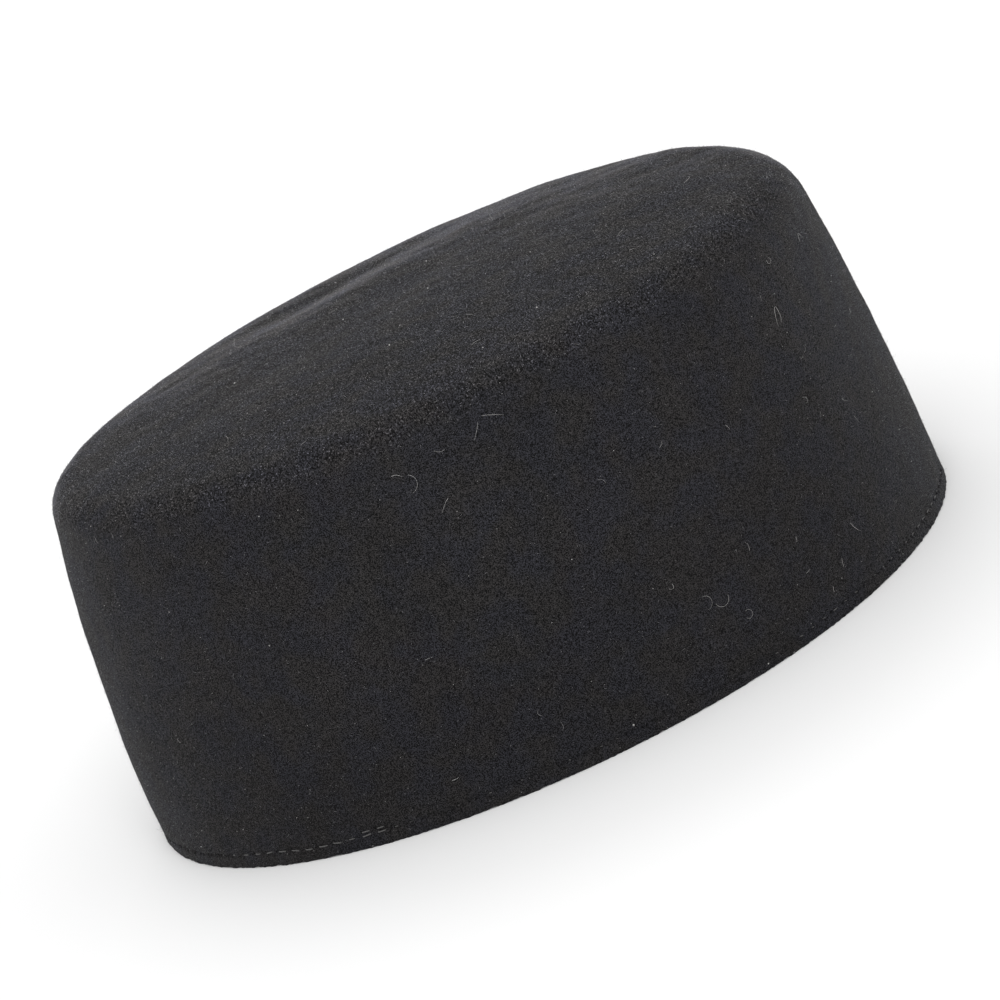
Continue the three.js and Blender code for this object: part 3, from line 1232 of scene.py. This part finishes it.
class HAT_OT_stage(bpy.types.Operator):
    """Lay the pale floor, hang the soft lights and set the camera"""

    bl_idname = "pillbox.stage"
    bl_label = "Stage"

    def execute(self, context):
        stage = context.scene.hat_stage
        add_floor(stage)
        add_world()
        add_lights()
        add_camera(stage)
        context.scene.view_settings.view_transform = "Standard"
        return {"FINISHED"}


def add_floor(stage):
    """A large square floor at the rim's height, divided so that it isn't one face."""
    line = np.linspace(-FLOOR_REACH, FLOOR_REACH, FLOOR_LINES)
    x, y = np.meshgrid(line, line, indexing="ij")
    points = np.stack([x, y, np.full_like(x, HAT_LOW.z)], -1).reshape(-1, 3)
    row, column = np.meshgrid(*[np.arange(FLOOR_LINES - 1)] * 2, indexing="ij")
    corner = (row * FLOOR_LINES + column).reshape(-1)
    across = corner + FLOOR_LINES
    quads = np.stack([corner, across, across + 1, corner + 1], 1)
    floor = add_mesh("floor", points, quads)
    floor.data.materials.append(floor_material(stage.floor_color))


def add_world():
    """Even white light from all round."""
    world = bpy.data.worlds.new("studio")
    world.use_nodes = True
    background = world.node_tree.nodes["Background"]
    background.inputs["Color"].default_value = (1, 1, 1, 1)
    background.inputs["Strength"].default_value = WORLD_STRENGTH
    bpy.context.scene.world = world


def add_lights():
    """Two large soft lights: one over the camera and a weaker one behind the hat."""
    for lamp in LIGHTS:
        data = bpy.data.lights.new(lamp.name, "AREA")
        data.shape = "DISK"
        data.size = lamp.width
        data.energy = lamp.power
        light = bpy.data.objects.new(lamp.name, data)
        light.location = lamp.place
        towards = Vector(LIGHTS_AIM) - light.location
        light.rotation_euler = towards.to_track_quat("-Z", "Y").to_euler()
        bpy.context.scene.collection.objects.link(light)


def add_camera(stage):
    """A camera on a sphere round the hat's middle, tilted to one side about its view."""
    azimuth, elevation, roll = stage.view_azimuth, stage.view_elevation, stage.view_roll
    middle = Vector((0, 0, VIEW_MIDDLE))
    back = Vector(
        (
            math.sin(azimuth) * math.cos(elevation),
            -math.cos(azimuth) * math.cos(elevation),
            math.sin(elevation),
        )
    )
    level_right = Vector((math.cos(azimuth), math.sin(azimuth), 0))
    level_up = back.cross(level_right)
    right = level_right * math.cos(roll) + level_up * math.sin(roll)
    up = level_up * math.cos(roll) - level_right * math.sin(roll)
    aim = middle + right * stage.aim_right - up * stage.aim_down
    place = middle + back * stage.view_distance
    away = (place - aim).normalized()
    across = up.cross(away).normalized()
    turned = Matrix((across, away.cross(across), away)).transposed()
    data = bpy.data.cameras.new("camera")
    data.lens = stage.lens
    data.clip_end = 60
    camera = bpy.data.objects.new("camera", data)
    camera.matrix_world = Matrix.Translation(place) @ turned.to_4x4()
    bpy.context.scene.collection.objects.link(camera)
    bpy.context.scene.camera = camera


# The add-on


STEPS = (HAT_OT_stage, HAT_OT_felt, HAT_OT_nap, HAT_OT_stitches, HAT_OT_lint)
GROUPS = {
    "hat_felt": FeltSizes,
    "hat_nap": NapSizes,
    "hat_stitches": StitchSizes,
    "hat_lint": LintSizes,
    "hat_stage": StageSizes,
}


class HAT_PT_panel(bpy.types.Panel):
    """Lists the steps that build the hat, with their sizes"""

    bl_idname = "HAT_PT_panel"
    bl_label = "Pillbox Hat"
    bl_space_type = "VIEW_3D"
    bl_region_type = "UI"
    bl_category = "Pillbox Hat"

    def draw(self, context):
        for step in STEPS:
            self.layout.operator(step.bl_idname)
        for name, group in GROUPS.items():
            box = self.layout.box()
            for key in group.__annotations__:
                box.prop(getattr(context.scene, name), key)


def register():
    for group in (*GROUPS.values(), *STEPS, HAT_PT_panel):
        bpy.utils.register_class(group)
    for name, group in GROUPS.items():
        setattr(bpy.types.Scene, name, PointerProperty(type=group))


def unregister():
    for name in GROUPS:
        delattr(bpy.types.Scene, name)
    for group in (HAT_PT_panel, *reversed(STEPS), *reversed(list(GROUPS.values()))):
        bpy.utils.unregister_class(group)


def main():
    register()
    bpy.ops.pillbox.stage()
    bpy.ops.pillbox.felt()
    bpy.ops.pillbox.nap()
    bpy.ops.pillbox.stitches()
    bpy.ops.pillbox.lint()


if __name__ == "__main__":
    main()
